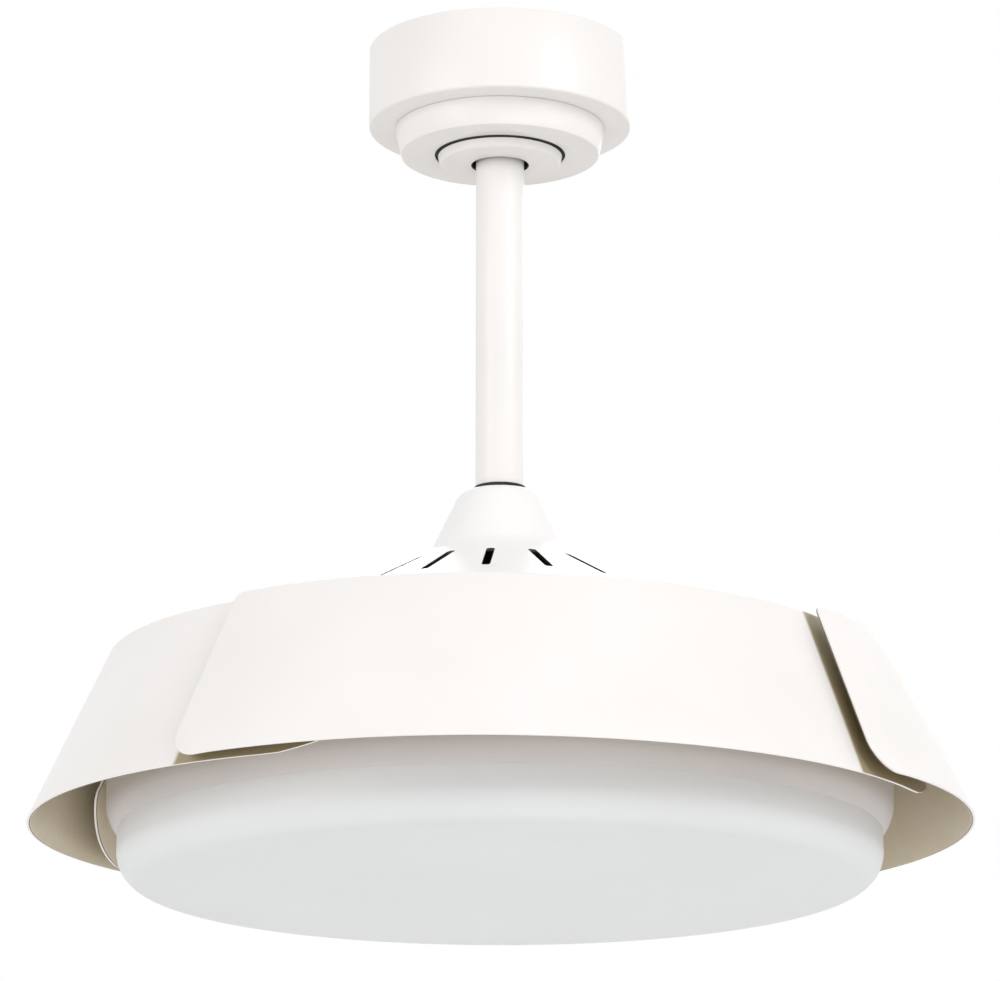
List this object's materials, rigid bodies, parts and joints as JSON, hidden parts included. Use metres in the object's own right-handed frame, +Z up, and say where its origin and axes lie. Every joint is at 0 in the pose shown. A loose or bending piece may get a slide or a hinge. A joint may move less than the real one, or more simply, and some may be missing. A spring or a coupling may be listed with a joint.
{
  "type": "retractable blade ceiling fan",
  "caption": "White ceiling fan on a downrod; its curved blades fold in around a round lamp and swing out on geared pivots as it turns.",
  "frame": {"origin": "on the ceiling, at the fan's axis, on the bracket's upper face", "axes": "+Z up into the ceiling along the fan's axis; -Y is the front that faces the viewer; blade 1 turns on the +X side"},
  "size_m": [0.508, 0.508, 0.4757],
  "materials": {
    "bracket_steel": "zinc plated, satin",
    "white_paint": "satin powder coat",
    "screw_steel": "plated, bright",
    "receiver_plastic": "moulded",
    "block_plastic": "moulded",
    "ball_plastic": "moulded",
    "cable_jacket": "matt",
    "cast_metal": "die cast, satin",
    "grommet_rubber": "matt",
    "shaft_steel": "turned",
    "core_steel": "laminated",
    "coil_copper": "enamelled wire",
    "bearing_steel": "ground",
    "plate_metal": "satin sheet",
    "lamp_metal": "painted, warm light grey satin",
    "board_white": "white solder mask",
    "chip_yellow": "phosphor",
    "driver_plastic": "moulded",
    "diffuser_plastic": "frosted, translucent",
    "magnet": "sintered",
    "cover_plastic": "moulded, satin gloss",
    "clip_steel": "blackened",
    "spring_steel": "drawn wire",
    "stop_rubber": "matt",
    "gear_plastic": "moulded, waxy",
    "blade_plastic": "white outer face, champagne inner face"
  },
  "bodies": {
    "mount": {"mounting_bracket": "bracket_steel", "canopy": "white_paint", "canopy_screws": "screw_steel", "canopy_screw_cover": "white_paint", "canopy_ring": "white_paint", "receiver": "receiver_plastic", "terminal_block": "block_plastic"},
    "hanger": {"hanger_ball": "ball_plastic", "rod_pins": "screw_steel", "set_screws": "screw_steel", "downrod": "white_paint", "supply_cable": "cable_jacket", "motor_coupling": "cast_metal", "clevis_clips": "screw_steel", "pan_screws": "screw_steel", "coupling_cover": "cover_plastic", "cover_grommet": "grommet_rubber", "motor_shaft": "shaft_steel", "stator_core": "core_steel", "stator_coils": "coil_copper", "bearing_inner_rings": "bearing_steel", "shaft_nut": "screw_steel", "light_mount_plate": "plate_metal", "light_pan": "lamp_metal", "led_board": "board_white", "led_chips": "chip_yellow", "led_driver": "driver_plastic"},
    "rotor": {"rotor_top_shell": "cast_metal", "rotor_bottom_shell": "cast_metal", "rotor_magnets": "magnet", "rotor_screws": "screw_steel", "bearing_outer_rings": "bearing_steel", "bearing_balls": "bearing_steel", "hub_plate": "plate_metal", "hub_cover": "cover_plastic", "lower_plate": "plate_metal", "plate_posts": "screw_steel", "pivot_pins": "shaft_steel", "pivot_clips": "clip_steel", "return_springs": "spring_steel", "ring_retainer": "plate_metal", "blade_stops": "stop_rubber"},
    "sync_ring": {"sync_ring": "gear_plastic"},
    "diffuser": {"diffuser": "diffuser_plastic"},
    "blade_1": {"blade_1": "blade_plastic", "blade_arm_1": "plate_metal", "blade_gear_1": "gear_plastic", "blade_rivets_1": "screw_steel"},
    "blade_2": {"blade_2": "blade_plastic", "blade_arm_2": "plate_metal", "blade_gear_2": "gear_plastic", "blade_rivets_2": "screw_steel"},
    "blade_3": {"blade_3": "blade_plastic", "blade_arm_3": "plate_metal", "blade_gear_3": "gear_plastic", "blade_rivets_3": "screw_steel"},
    "blade_4": {"blade_4": "blade_plastic", "blade_arm_4": "plate_metal", "blade_gear_4": "gear_plastic", "blade_rivets_4": "screw_steel"}
  },
  "joints": [
    {"name": "downrod_sway", "type": "hinge", "parent": "mount", "child": "hanger", "pos_m": [0, 0, -0.026], "axis": [1, 0, 0], "range_deg": [-2.5, 2.5]},
    {"name": "rotor_spin", "type": "hinge", "parent": "hanger", "child": "rotor", "pos_m": [0, 0, -0.357], "axis": [0, 0, 1], "continuous": true},
    {"name": "diffuser_twist", "type": "hinge", "parent": "hanger", "child": "diffuser", "pos_m": [0, 0, -0.444], "axis": [0, 0, 1], "range_deg": [0, 12]},
    {"name": "ring_turn", "type": "hinge", "parent": "rotor", "child": "sync_ring", "pos_m": [0, 0, -0.358], "axis": [0, 0, 1], "range_deg": [-13, 0]},
    {"name": "blade_1_swing", "type": "hinge", "parent": "rotor", "child": "blade_1", "pos_m": [0.18, 0, -0.36], "axis": [0, 0, 1], "range_deg": [0, 104], "stiffness_Nm_per_rad": 0.15, "springref_deg": -5.73},
    {"name": "blade_2_swing", "type": "hinge", "parent": "rotor", "child": "blade_2", "pos_m": [0, 0.18, -0.36], "axis": [0, 0, 1], "range_deg": [0, 104], "stiffness_Nm_per_rad": 0.15, "springref_deg": -5.73},
    {"name": "blade_3_swing", "type": "hinge", "parent": "rotor", "child": "blade_3", "pos_m": [-0.18, 0, -0.36], "axis": [0, 0, 1], "range_deg": [0, 104], "stiffness_Nm_per_rad": 0.15, "springref_deg": -5.73},
    {"name": "blade_4_swing", "type": "hinge", "parent": "rotor", "child": "blade_4", "pos_m": [0, -0.18, -0.36], "axis": [0, 0, 1], "range_deg": [0, 104], "stiffness_Nm_per_rad": 0.15, "springref_deg": -5.73}
  ],
  "couplings": [
    {"joint": "ring_turn", "follows": "blade_1_swing", "ratio": -0.125},
    {"joint": "blade_2_swing", "follows": "blade_1_swing", "ratio": 1},
    {"joint": "blade_3_swing", "follows": "blade_1_swing", "ratio": 1},
    {"joint": "blade_4_swing", "follows": "blade_1_swing", "ratio": 1}
  ]
}
